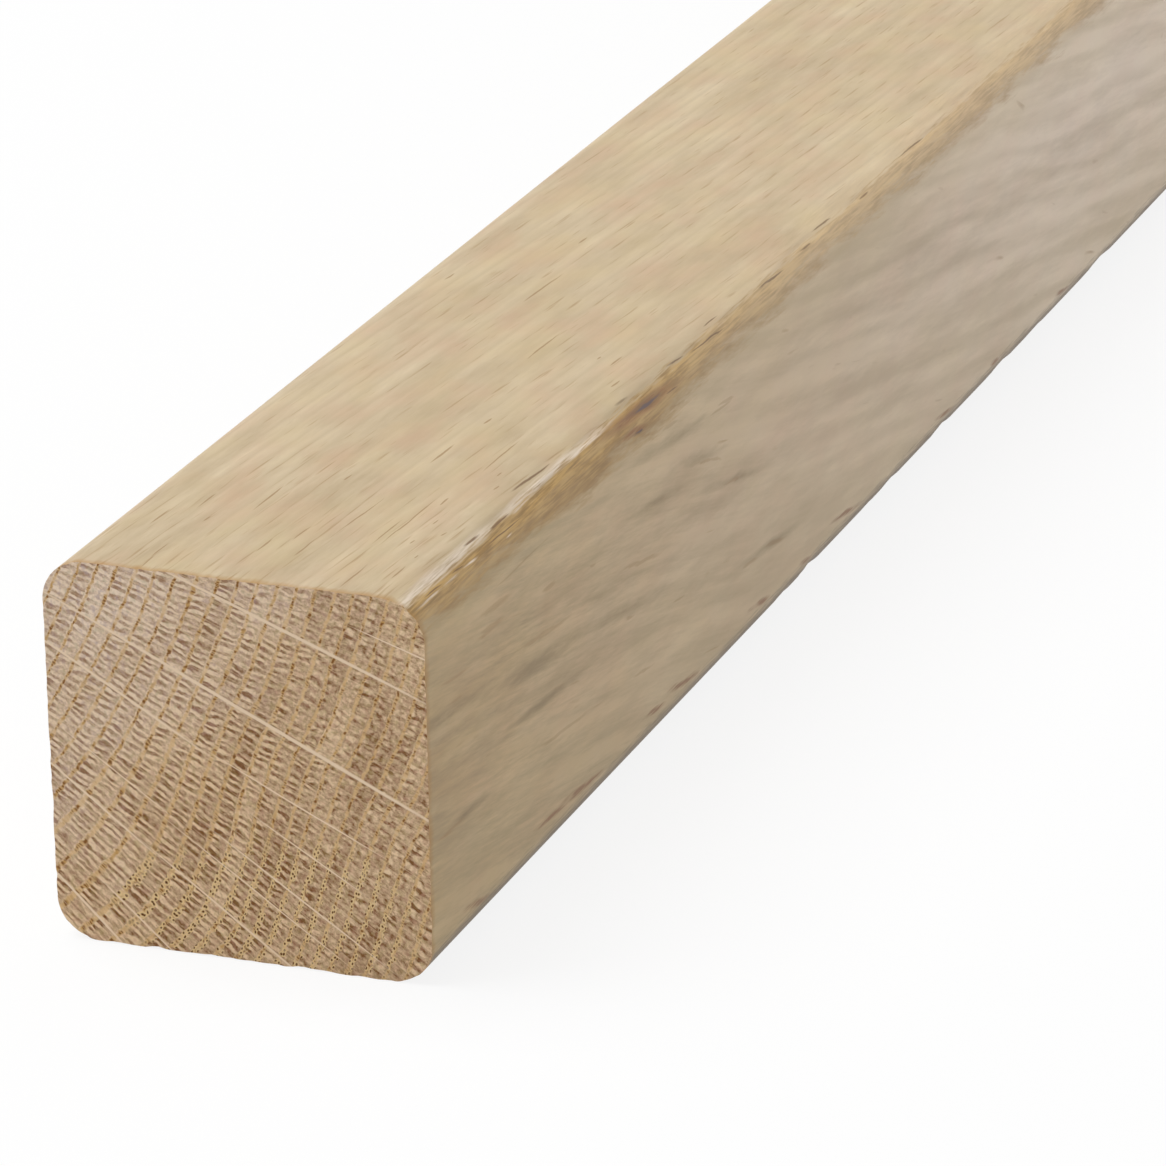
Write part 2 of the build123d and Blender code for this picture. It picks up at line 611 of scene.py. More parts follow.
def add(tree, kind, *fed, **settings):
    """Adds a shader node and returns it. What is fed goes to its open sockets in order. A
    setting with a capital letter goes to the socket of that name, and any other is set on
    the node itself. A node that is fed gives its first open output."""
    node = tree.nodes.new("ShaderNode" + kind)
    for name, value in settings.items():
        if name[0].islower():
            setattr(node, name, value)
    sockets = [socket for socket in node.inputs if socket.enabled]
    named = {socket.name.replace(" ", "_"): socket for socket in sockets}
    values = list(zip(sockets, fed))
    values += [(named[name], value) for name, value in settings.items() if name[0].isupper()]
    for socket, value in values:
        if isinstance(value, bpy.types.Node):
            value = next(output for output in value.outputs if output.enabled)
        if isinstance(value, bpy.types.NodeSocket):
            tree.links.new(value, socket)
        else:
            socket.default_value = value
    return node


def new_material(name):
    """An empty node material and its tree."""
    material = bpy.data.materials.new(name)
    material.use_nodes = True
    material.node_tree.nodes.clear()
    return material, material.node_tree


def scales(sizes):
    """A Mapping node's scales for a pattern whose largest lumps have these sizes along the
    axes. Two sizes are for a flat pattern, and along an axis of infinite size the pattern
    stays the same."""
    return [1 / size for size in sizes] + [1] * (3 - len(sizes))


def tree_place(tree):
    """Where a point lay in the tree. Gives the point itself in millimetres, its distance
    along the rail, its distance from the pith, its turn about the pith as millimetres at
    TURN_RADIUS, and how many rings lie inside it."""
    place = add(tree, "TexCoord").outputs["Object"]
    place = add(tree, "VectorMath", place, 1 / MM, operation="SCALE")
    x = add(tree, "SeparateXYZ", place).outputs["X"]
    along = add(tree, "Math", x, -NEAR_END, operation="ADD")
    stride = add(tree, "Math", along, PITH_BOW_STRIDE, operation="DIVIDE")
    bow = add(tree, "Math", stride, operation="COSINE")
    bow = add(tree, "Math", bow, PITH_BOW, PITH_Z - PITH_BOW, operation="MULTIPLY_ADD")
    pith_z = add(tree, "Math", along, -PITH_DRIFT_Z, bow, operation="MULTIPLY_ADD")
    pith_y = add(tree, "Math", along, -PITH_DRIFT_Y, PITH_Y, operation="MULTIPLY_ADD")
    pith = add(tree, "CombineXYZ", 0, pith_y, pith_z)

    flat = add(tree, "VectorMath", place, (0, 1, 1), operation="MULTIPLY")
    offset = add(tree, "VectorMath", pith, flat, operation="SUBTRACT")
    radius = add(tree, "VectorMath", offset, operation="LENGTH").outputs["Value"]
    wave = add(tree, "Mapping", place, Scale=scales(WAVER_SIZES))
    wave = add(tree, "TexNoise", wave, Scale=1, Detail=2)
    wave = add(tree, "Math", wave, -0.5, operation="ADD")
    radius = add(tree, "Math", wave, RING_WAVER, radius, operation="MULTIPLY_ADD")

    parts = add(tree, "SeparateXYZ", offset)
    turn = add(tree, "Math", parts.outputs["Z"], parts.outputs["Y"], operation="ARCTAN2")
    turn = add(tree, "Math", turn, TURN_RADIUS, operation="MULTIPLY")

    under = add(tree, "MapRange", turn, *BULGE_TURNS, 0, BULGE, interpolation_type="SMOOTHSTEP")
    outer = add(tree, "MapRange", radius, *BULGE_RADII, interpolation_type="SMOOTHSTEP")
    bulge = add(tree, "Math", under, outer, operation="MULTIPLY")
    evened = add(tree, "Math", radius, bulge, operation="SUBTRACT")
    spell = add(tree, "Math", evened, -SPELL_START, operation="ADD")
    spell = add(tree, "Math", spell, SPELL_STRIDE, operation="DIVIDE")
    spell = add(tree, "Math", spell, operation="SINE")
    evened = add(tree, "Math", spell, -SPELL_SWING, evened, operation="MULTIPLY_ADD")
    evened = add(tree, "Math", evened, -FIRST_RING, operation="ADD")
    years = add(tree, "Math", evened, RING_PITCH, operation="DIVIDE")
    return place, along, radius, turn, years


def marks(tree, surface, rows):
    """A mask of long thin ellipses that fade from the middle out, in a surface's first two
    coordinates, with 1 as the third. Each row has an ellipse's start and end along the first
    coordinate, the second coordinate at both, and the width. The mask is 1 less the square
    root of u^2 + v^2, where u and v run from -1 to 1 along and across the ellipse."""
    nearest = None
    for start, end, start_height, end_height, width in rows:
        angle = math.atan2(end_height - start_height, end - start)
        cosine, sine = math.cos(angle), math.sin(angle)
        middle, height = (start + end) / 2, (start_height + end_height) / 2
        across = Vector((-sine, cosine, sine * middle - cosine * height)) * (2 / width)
        length = Vector((cosine, sine, -cosine * middle - sine * height)) * (2 / (end - start))
        u = add(tree, "VectorMath", surface, length, operation="DOT_PRODUCT").outputs["Value"]
        v = add(tree, "VectorMath", surface, across, operation="DOT_PRODUCT").outputs["Value"]
        square = add(tree, "Math", u, u, operation="MULTIPLY")
        square = add(tree, "Math", v, v, square, operation="MULTIPLY_ADD")
        if nearest:
            square = add(tree, "Math", square, nearest, operation="MINIMUM")
        nearest = square
    nearest = add(tree, "Math", nearest, operation="SQRT")
    return add(tree, "Math", 1, nearest, operation="SUBTRACT", use_clamp=True)


def plain_colour(tree, place, along, grain, early, late, fine):
    """The planed wood's own colour: tan fibres, more marked near the end, pink and straw
    patches, and soft darker bands where one ring ends and the next begins."""
    strands = add(tree, "Mapping", grain, Scale=scales(STRANDS))
    strands = add(tree, "TexNoise", strands, Scale=1, Detail=2)
    patches = add(tree, "Mapping", place, Scale=scales(PATCHES), Location=(3, 1, 8))
    patches = add(tree, "TexNoise", patches, Scale=1, Detail=3).outputs["Color"]
    patches = add(tree, "SeparateXYZ", patches)
    tone = add(tree, "Math", patches.outputs["X"], 0.7, strands, operation="MULTIPLY_ADD")
    tone = add(tree, "Math", fine, 0.9, tone, operation="MULTIPLY_ADD")
    marked = add(tree, "MapRange", along, *FIBRE_CONTRAST)
    extra = add(tree, "Math", fine, -0.5, operation="ADD")
    tone = add(tree, "Math", extra, marked, tone, operation="MULTIPLY_ADD")
    tone = add(tree, "MapRange", tone, 0.96, 1.76)
    colour = add(tree, "Mix", tone, linear("#b59e7b"), linear("#dac6a5"), data_type="RGBA")
    pink = add(tree, "MapRange", patches.outputs["Y"], 0.44, 0.72, 0, 0.5)
    colour = add(tree, "Mix", pink, colour, linear("#c9a282"), data_type="RGBA")
    straw = add(tree, "MapRange", patches.outputs["Z"], 0.43, 0.72, 0, 0.42)
    colour = add(tree, "Mix", straw, colour, linear("#d1bb8c"), data_type="RGBA")

    # The bands show most where the fibres and strands are strong
    band = add(tree, "Math", late, early, operation="MAXIMUM")
    band = add(tree, "Math", band, fine, operation="MULTIPLY")
    band = add(tree, "Math", band, strands, operation="MULTIPLY")
    band = add(tree, "MapRange", band, 0.1, 0.4, 0, 0.28)
    return add(tree, "Mix", band, colour, linear("#9c845f"), data_type="RGBA")


def front_colour(tree, colour, place, along, girth, front, fine):
    """Gives the front its own look: painted light from a warm, darker honey at the near end to
    a pale pinkish-grey painted reflection further on, with the rings as darker strokes. The
    near end gets painted shade, the lower part painted light thrown up from the floor, and the
    upper part is lighter."""
    # Painted light: warm and darker near the end, a pale pinkish-grey painted reflection
    # further on
    distance = add(tree, "MapRange", along, *FRONT_PAINTED_LIGHT)
    painted_light_tint = add(tree, "Mix", distance, linear("#b88a34"), linear("#fdeee6"), data_type="RGBA")
    amount = add(tree, "Math", front, 0.4, operation="MULTIPLY")
    colour = add(tree, "Mix", amount, colour, painted_light_tint, data_type="RGBA")

    # The strokes lie slanted, as the rings cross the front
    drop = add(tree, "MapRange", along, *KNOT_REACH, 0, KNOT_DROP,
               interpolation_type="SMOOTHSTEP")
    drop = add(tree, "Math", along, RING_SLANT, drop, operation="MULTIPLY_ADD")
    slanted = add(tree, "CombineXYZ", 0, 0, drop)
    slanted = add(tree, "VectorMath", place, slanted, operation="ADD")
    rough = add(tree, "MapRange", along, *STROKE_ROUGHNESS)
    strokes = add(tree, "Mapping", slanted, Scale=scales(STROKES))
    strokes = add(tree, "TexNoise", strokes, Scale=1, Detail=5, Roughness=rough)
    strokes = add(tree, "Math", fine, 0.4, strokes, operation="MULTIPLY_ADD")
    amount = add(tree, "MapRange", along, *STROKE_AMOUNT)
    strokes = add(tree, "MapRange", strokes, 0.79, 0.55, 0, amount)

    # Far along they give way to soft, even waves
    sway = add(tree, "Mapping", slanted, Scale=scales(WAVE_SWAY))
    sway = add(tree, "TexNoise", sway, Scale=1, Detail=2)
    height = add(tree, "SeparateXYZ", slanted).outputs["Z"]
    height = add(tree, "Math", height, 2 * math.pi / WAVE_PITCH, operation="MULTIPLY")
    waves = add(tree, "Math", sway, 14, height, operation="MULTIPLY_ADD")
    waves = add(tree, "Math", waves, operation="SINE")
    amount = add(tree, "MapRange", along, *WAVE_AMOUNT)
    waves = add(tree, "MapRange", waves, -0.4, 1, 0, amount)
    strokes = add(tree, "Math", strokes, waves, operation="ADD")
    strokes = add(tree, "Math", strokes, front, operation="MULTIPLY")
    colour = add(tree, "Mix", strokes, colour, linear("#947d5a"), data_type="RGBA")

    # The near end gets painted shade, the lower part painted light thrown up from the floor,
    # and the upper part is lighter
    darker = add(tree, "MapRange", along, *NEAR_PAINTED_SHADE)
    darker = add(tree, "Math", darker, front, operation="MULTIPLY")
    colour = add(tree, "Mix", darker, colour, linear("#7a5c36"), data_type="RGBA")
    painted_floor_bounce = add(tree, "MapRange", girth, *LOWER_FRONT_PAINTED_BOUNCE, 0, 0.2)
    high = add(tree, "MapRange", girth, *UPPER_FRONT, 0, 0.16)
    lighter = add(tree, "Math", painted_floor_bounce, high, operation="ADD")
    lighter = add(tree, "Math", lighter, front, operation="MULTIPLY")
    return add(tree, "Mix", lighter, colour, linear("#f0dcae"), data_type="RGBA")


def vessel_lines(tree, colour, along, grain, early, from_front):
    """Draws the vessels: thin brown dashes where a ring begins, more of them near the end.
    The front and back show fewer, because there the cut runs nearer to the rings."""
    vessels = add(tree, "Mapping", grain, Scale=scales(VESSELS))
    vessels = add(tree, "TexNoise", vessels, Scale=1, Detail=1)
    vessels = add(tree, "Math", early, 0.12, vessels, operation="MULTIPLY_ADD")
    more = add(tree, "MapRange", along, *MORE_VESSELS)
    vessels = add(tree, "Math", vessels, more, operation="ADD")
    upright = add(tree, "Math", from_front, SIDE_GIRTH, operation="PINGPONG")
    missing = add(tree, "MapRange", upright, *SIDE_FADE, 0, 0.1)
    vessels = add(tree, "Math", vessels, missing, operation="SUBTRACT")
    vessels = add(tree, "MapRange", vessels, 0.67, 0.82, 0, 0.62)
    return add(tree, "Mix", vessels, colour, linear("#9f7a4c"), data_type="RGBA")


def upper_edge(tree, colour, along, girth, fine, threads, mottle):
    """Draws the golden band down the upper front edge, darkest beside the pale strip. It
    widens towards the knot, and is narrow past it, where painted light makes the round paler."""
    top = add(tree, "MapRange", girth, *BAND_TOP, interpolation_type="SMOOTHSTEP")
    wider = add(tree, "MapRange", along, *BAND_WIDENING, interpolation_type="SMOOTHSTEP")
    narrower = add(tree, "MapRange", along, *BAND_NARROWING, interpolation_type="SMOOTHSTEP")
    wider = add(tree, "Math", wider, narrower, operation="SUBTRACT")
    uneven = add(tree, "MapRange", fine, 0.3, 0.7, -2, 2)
    wider = add(tree, "Math", wider, uneven, operation="ADD")
    foot = add(tree, "Math", girth, wider, operation="ADD")
    foot = add(tree, "MapRange", foot, *BAND_FOOT, interpolation_type="SMOOTHSTEP")
    stain = add(tree, "Math", top, foot, operation="MULTIPLY")
    amount = add(tree, "MapRange", along, *BAND_AMOUNT)
    stain = add(tree, "Math", stain, amount, operation="MULTIPLY")
    depth = add(tree, "MapRange", girth, 86, 83)
    gold = add(tree, "Mix", depth, linear("#c1964c"), linear("#a67f45"), data_type="RGBA")
    colour = add(tree, "Mix", stain, colour, gold, data_type="RGBA")

    # The gold is mottled dull and bright, most clearly at its top
    mottle = add(tree, "Math", threads, 0.7, mottle, operation="MULTIPLY_ADD")
    clear = add(tree, "MapRange", girth, 82.6, 85.2, 0.45, 1)
    clear = add(tree, "Math", clear, stain, operation="MULTIPLY")
    dull = add(tree, "MapRange", mottle, 0.9, 0.66, 0, 0.75)
    dull = add(tree, "Math", dull, clear, operation="MULTIPLY")
    colour = add(tree, "Mix", dull, colour, linear("#77531f"), data_type="RGBA")
    shine = add(tree, "MapRange", mottle, 0.88, 1.06, 0, 0.35)
    shine = add(tree, "Math", shine, clear, operation="MULTIPLY")
    colour = add(tree, "Mix", shine, colour, linear("#d8b880"), data_type="RGBA")

    # Past the knot the whole round is paler: painted light on the upper round
    foot = add(tree, "MapRange", girth, *CREST_LIGHT_FOOT)
    top = add(tree, "MapRange", girth, *CREST_LIGHT_TOP)
    painted_crest_light = add(tree, "Math", foot, top, operation="MULTIPLY")
    amount = add(tree, "MapRange", along, *CREST_LIGHT_AMOUNT)
    painted_crest_light = add(tree, "Math", painted_crest_light, amount, operation="MULTIPLY")
    return add(tree, "Mix", painted_crest_light, colour, linear("#f8dcb4"), data_type="RGBA")


def torn_marks(tree, colour, surface, along, front, fine, threads):
    """Draws the single marks: grey bands on the front, the torn pale strip, which is pale
    fibres with a painted highlight, brown streaks, the knot, cracks, and streaks in the grain."""
    greys = marks(tree, surface, GREY_BANDS)
    amount = add(tree, "MapRange", along, *GREY_AMOUNT)
    greys = add(tree, "MapRange", greys, 0, 0.8, 0, amount)
    uneven = add(tree, "MapRange", fine, 0.68, 0.38, 0.3, 1)
    greys = add(tree, "Math", greys, uneven, operation="MULTIPLY")
    colour = add(tree, "Mix", greys, colour, linear("#7d6640"), data_type="RGBA")

    # The pale strip: torn pale fibres with a painted highlight along the worn edge
    pale = marks(tree, surface, PALE_STRIPS_AND_HIGHLIGHT)
    pale = add(tree, "MapRange", pale, 0, 0.8, 0, 0.95)
    torn = add(tree, "MapRange", threads, 0.36, 0.6, 0.25, 1)
    pale = add(tree, "Math", pale, torn, operation="MULTIPLY")
    colour = add(tree, "Mix", pale, colour, linear("#f2e0cc"), data_type="RGBA")
    streaks = marks(tree, surface, BROWN_STREAKS)
    streaks = add(tree, "Math", streaks, torn, operation="MULTIPLY")
    streaks = add(tree, "MapRange", streaks, 0, 0.5, 0, 0.75)
    colour = add(tree, "Mix", streaks, colour, linear("#84491f"), data_type="RGBA")

    edges = marks(tree, surface, KNOT_EDGES)
    edges = add(tree, "MapRange", edges, 0, 0.7, 0, 0.6)
    colour = add(tree, "Mix", edges, colour, linear("#6b4f30"), data_type="RGBA")
    knots = marks(tree, surface, KNOT_CORES)
    knots = add(tree, "MapRange", knots, 0.1, 0.5, 0, 0.9)
    colour = add(tree, "Mix", knots, colour, linear("#554149"), data_type="RGBA")

    cracks = marks(tree, surface, CRACKS)
    cracks = add(tree, "Math", threads, -0.5, cracks, operation="MULTIPLY_ADD")
    amount = add(tree, "MapRange", along, *CRACK_AMOUNT)
    cracks = add(tree, "MapRange", cracks, -0.1, 0.3, 0, amount)
    colour = add(tree, "Mix", cracks, colour, linear("#704c28"), data_type="RGBA")
    grains = marks(tree, surface, GRAIN_STREAKS)
    grains = add(tree, "Math", threads, -0.5, grains, operation="MULTIPLY_ADD")
    grains = add(tree, "MapRange", grains, -0.12, 0.25, 0, 0.75)
    fainter = add(tree, "MapRange", front, 0, 1, 1, 0.45)
    grains = add(tree, "Math", grains, fainter, operation="MULTIPLY")
    return add(tree, "Mix", grains, colour, linear("#926a38"), data_type="RGBA")


def planed_oak():
    """Bare European oak, planed along the grain: matt, pale tan, with fine straight fibres,
    darker vessel lines at each ring, faint pink and straw mottling, and torn, stained and
    cracked grain on the front's two edges. The front also carries painted light: a painted
    highlight along its upper edge, painted shade under its lower edge, and painted light and
    reflection along its length."""
    material, tree = new_material("planed_oak")
    place, along, radius, turn, years = tree_place(tree)
    grain = add(tree, "CombineXYZ", along, turn, radius)
    phase = add(tree, "Math", years, operation="FRACT")
    late = add(tree, "MapRange", phase, 0.45, 1)
    early = add(tree, "MapRange", phase, 0, 0.3, 1, 0)

    # The fibres run nearly along the rail, and the cut crosses the rings at a steeper slant
    lean = add(tree, "VectorMath", (0, FIBRE_LEAN_Y, FIBRE_LEAN_Z), along, operation="SCALE")
    fibre = add(tree, "VectorMath", place, lean, operation="ADD")
    fibre = add(tree, "Mapping", fibre, Scale=scales(FIBRES))
    fine = add(tree, "TexNoise", fibre, Scale=1, Detail=4, Roughness=0.7)
    colour = plain_colour(tree, place, along, grain, early, late, fine)

    surface = add(tree, "UVMap", uv_map="girth")
    girth = add(tree, "SeparateXYZ", surface).outputs["Y"]
    from_front = add(tree, "Math", girth, -FRONT_GIRTH, operation="ADD")
    gap = add(tree, "Math", from_front, operation="ABSOLUTE")
    front = add(tree, "MapRange", gap, *SIDE_FADE)
    colour = front_colour(tree, colour, place, along, girth, front, fine)
    colour = vessel_lines(tree, colour, along, grain, early, from_front)

    # The map of the planed surface, rippled so that the marks on it look torn
    threads = add(tree, "Mapping", surface, Scale=scales(THREADS))
    threads = add(tree, "TexNoise", threads, noise_dimensions="2D", Scale=1, Detail=3)
    ripple = add(tree, "Mapping", surface, Scale=scales(RIPPLES))
    ripple = add(tree, "TexNoise", ripple, Scale=1, Detail=3).outputs["Color"]
    mottle = add(tree, "SeparateXYZ", ripple).outputs["Z"]
    ripple = add(tree, "VectorMath", ripple, (0.5, 0.5, 0.5), operation="SUBTRACT")
    ripple = add(tree, "VectorMath", ripple, RIPPLE_REACH, (0, 0, 1), operation="MULTIPLY_ADD")
    surface = add(tree, "VectorMath", surface, ripple, operation="ADD")
    girth = add(tree, "SeparateXYZ", surface).outputs["Y"]
    girth = add(tree, "Math", threads, THREAD_REACH, girth, operation="MULTIPLY_ADD")
    girth = add(tree, "Math", girth, -THREAD_REACH / 2, operation="ADD")
    colour = upper_edge(tree, colour, along, girth, fine, threads, mottle)

    # The lower front round gets painted shade where it turns under
    under = add(tree, "MapRange", girth, *UNDERSIDE_SHADE_TOP, 0, 0.8)
    plain = add(tree, "MapRange", girth, *UNDERSIDE_SHADE_FOOT)
    under = add(tree, "Math", under, plain, operation="MULTIPLY")
    colour = add(tree, "Mix", under, colour, linear("#523a26"), data_type="RGBA")
    colour = torn_marks(tree, colour, surface, along, front, fine, threads)

    # The last half millimetre before the saw is browner, and the whole is a little bleached
    burr = add(tree, "Math", fine, 2.4, along, operation="MULTIPLY_ADD")
    burr = add(tree, "MapRange", burr, 0.9, 2.3, 0.85, 0)
    colour = add(tree, "Mix", burr, colour, linear("#ad7c38"), data_type="RGBA")
    colour = add(tree, "Mix", 0.05, colour, linear("#fff0c4"), data_type="RGBA")
    bump = add(tree, "Bump", Strength=0.5, Distance=0.06 * MM, Height=fine)
    shader = add(tree, "BsdfPrincipled", Base_Color=colour, Roughness=0.5,
                 Specular_IOR_Level=0.3, Normal=bump)
    add(tree, "OutputMaterial", shader)
    return material


def latewood_bars(tree, place, rings, girdle, years, phase, sway, drift, ragged):
    """How dark the latewood is: dark bars along the radius from one ring line to the next,
    and towards the front a loose net of wider ones."""
    uneven = add(tree, "Mapping", rings, Scale=scales(BAR_UNEVENNESS))
    uneven = add(tree, "TexNoise", uneven, noise_dimensions="2D", Scale=1, Detail=2)
    uneven = add(tree, "MapRange", uneven, 0.3, 0.7, -0.6, 0.6)
    ragged = add(tree, "Math", ragged, 0.4, phase, operation="MULTIPLY_ADD")
    opening = add(tree, "MapRange", ragged, 0.15, 0.25, interpolation_type="SMOOTHSTEP")
    close = add(tree, "MapRange", ragged, 0.5, 1, 1, 0.4)
    strength = add(tree, "Math", opening, close, operation="MULTIPLY")
    patch = add(tree, "Mapping", place, Scale=scales(BAR_PATCHES), Location=(7, 3, 5))
    patch = add(tree, "TexNoise", patch, Scale=1, Detail=2)
    patch = add(tree, "MapRange", patch, 0.36, 0.6, 0.2, 1.15)
    strength = add(tree, "Math", strength, patch, operation="MULTIPLY")
    sets = []
    for pitch, slant, thinness in BAR_SETS:
        bars = add(tree, "Math", girdle, 2 * math.pi / pitch, operation="MULTIPLY")
        bars = add(tree, "Math", years, slant, bars, operation="MULTIPLY_ADD")
        bars = add(tree, "Math", sway, 9, bars, operation="MULTIPLY_ADD")
        bars = add(tree, "Math", bars, operation="SINE")
        bars = add(tree, "Math", bars, uneven, operation="ADD")
        bars = add(tree, "MapRange", bars, thinness - 0.7, thinness + 0.7, -0.5, 0.6,
                   interpolation_type="SMOOTHSTEP")
        sets.append(bars)

    net = add(tree, "Mapping", rings, Scale=scales(NET))
    net = add(tree, "TexVoronoi", net, voronoi_dimensions="2D", feature="DISTANCE_TO_EDGE",
              Scale=1, Randomness=0.85)
    net = add(tree, "MapRange", net, 0, 0.3, 0.4, -0.25)
    net = add(tree, "Math", sets[1], 0.6, net, operation="MULTIPLY_ADD")
    front = add(tree, "SeparateXYZ", place).outputs["Y"]
    front = add(tree, "Math", drift, -26, front, operation="MULTIPLY_ADD")
    front = add(tree, "MapRange", front, -27, -14, 0.85, 0)
    bars = add(tree, "Mix", front, sets[0], net)
    return add(tree, "Math", bars, strength, operation="MULTIPLY")


def end_tints(tree, colour, place, grey):
    """Adds small rosy and olive blotches, greyer where the end is."""
    tint = add(tree, "Mapping", place, Scale=scales(TINTS), Location=(1, 9, 4))
    tint = add(tree, "TexNoise", tint, Scale=1, Detail=2)
    rosy = add(tree, "Mix", grey, linear("#c79a80"), linear("#a58f96"), data_type="RGBA")
    amount = add(tree, "MapRange", tint, 0.52, 0.72, 0, 0.5)
    colour = add(tree, "Mix", amount, colour, rosy, data_type="RGBA")
    olive = add(tree, "Mix", grey, linear("#b09a64"), linear("#aba281"), data_type="RGBA")
    amount = add(tree, "MapRange", tint, 0.48, 0.28, 0, 0.45)
    return add(tree, "Mix", amount, colour, olive, data_type="RGBA")


def ring_lines(tree, colour, girdle, ring, phase, sway, cells, grey):
    """Draws the earlywood: at each ring a pale line round a golden one, which is beaded with
    brown vessels."""
    near_line = add(tree, "Math", cells, 0.12, phase, operation="MULTIPLY_ADD")
    near_line = add(tree, "Math", near_line, -0.14, operation="ADD")
    near_line = add(tree, "Math", near_line, operation="ABSOLUTE")
    pale = add(tree, "MapRange", near_line, 0.05, 0.13, 0.7, 0)
    cream = add(tree, "Mix", grey, linear("#e6c18b"), linear("#edcfa8"), data_type="RGBA")
    colour = add(tree, "Mix", pale, colour, cream, data_type="RGBA")
    coverage = add(tree, "CombineXYZ", girdle, ring)
    coverage = add(tree, "TexNoise", coverage, noise_dimensions="2D", Scale=0.9, Detail=3)
    golden = add(tree, "MapRange", near_line, 0.03, 0.1, 1, 0, interpolation_type="SMOOTHSTEP")
    amount = add(tree, "Math", grey, 0.15, coverage, operation="MULTIPLY_ADD")
    amount = add(tree, "MapRange", amount, 0.46, 0.68, 0.05, 0.85)
    amount = add(tree, "Math", golden, amount, operation="MULTIPLY")
    colour = add(tree, "Mix", amount, colour, linear("#c29553"), data_type="RGBA")
    beads = add(tree, "Math", girdle, 2 * math.pi / BEAD_PITCH, operation="MULTIPLY")
    beads = add(tree, "Math", sway, 30, beads, operation="MULTIPLY_ADD")
    beads = add(tree, "Math", beads, operation="SINE")
    coverage = add(tree, "MapRange", coverage, 0.38, 0.65, -1.5, 0.7)
    beads = add(tree, "Math", beads, coverage, operation="ADD")
    beads = add(tree, "MapRange", beads, -0.2, 1, 0, 0.9)
    beads = add(tree, "Math", golden, beads, operation="MULTIPLY")
    return add(tree, "Mix", beads, colour, linear("#7d4d20"), data_type="RGBA")


def open_pores(tree, colour, place, girdle, ring, phase, drift):
    """Draws rows of open pores beside the ring lines, where the saw cut clean. Gives the
    colour and a mask of the holes."""
    # The rows of one ring are numbered well apart from those of the next
    row = add(tree, "Math", phase, RING_PITCH / PORE_ROW, operation="MULTIPLY")
    row = add(tree, "Math", ring, 50, row, operation="MULTIPLY_ADD")
    cell = add(tree, "Math", girdle, PORE_PITCH, operation="DIVIDE")
    cell = add(tree, "CombineXYZ", cell, row)
    pore = add(tree, "TexVoronoi", cell, voronoi_dimensions="2D", Scale=1, Randomness=0.7)
    # Three cells in ten have no pore
    present = add(tree, "SeparateXYZ", pore.outputs["Color"]).outputs["X"]
    present = add(tree, "Math", present, 0.3, operation="GREATER_THAN")
    early = add(tree, "MapRange", phase, 0.34, 0.4, 1, 0)
    clear = add(tree, "Mapping", place, vector_type="TEXTURE", Location=CLEAN_CUT_MIDDLE,
                Scale=CLEAN_CUT_REACH)
    clear = add(tree, "TexGradient", clear, gradient_type="SPHERICAL")
    clear = add(tree, "Math", drift, 0.8, clear, operation="MULTIPLY_ADD")
    clear = add(tree, "MapRange", clear, 0.5, 0.7)
    clear = add(tree, "Math", clear, early, operation="MULTIPLY")
    clear = add(tree, "Math", clear, present, operation="MULTIPLY")
    halo = add(tree, "MapRange", pore, 0.65, 0.4, 0, 0.95)
    halo = add(tree, "Math", halo, clear, operation="MULTIPLY")
    hole = add(tree, "MapRange", pore, 0.32, 0.16)
    hole = add(tree, "Math", hole, clear, operation="MULTIPLY")
    colour = add(tree, "Mix", halo, colour, linear("#ecce98"), data_type="RGBA")
    colour = add(tree, "Mix", hole, colour, linear("#5f3308"), data_type="RGBA")
    return colour, hole


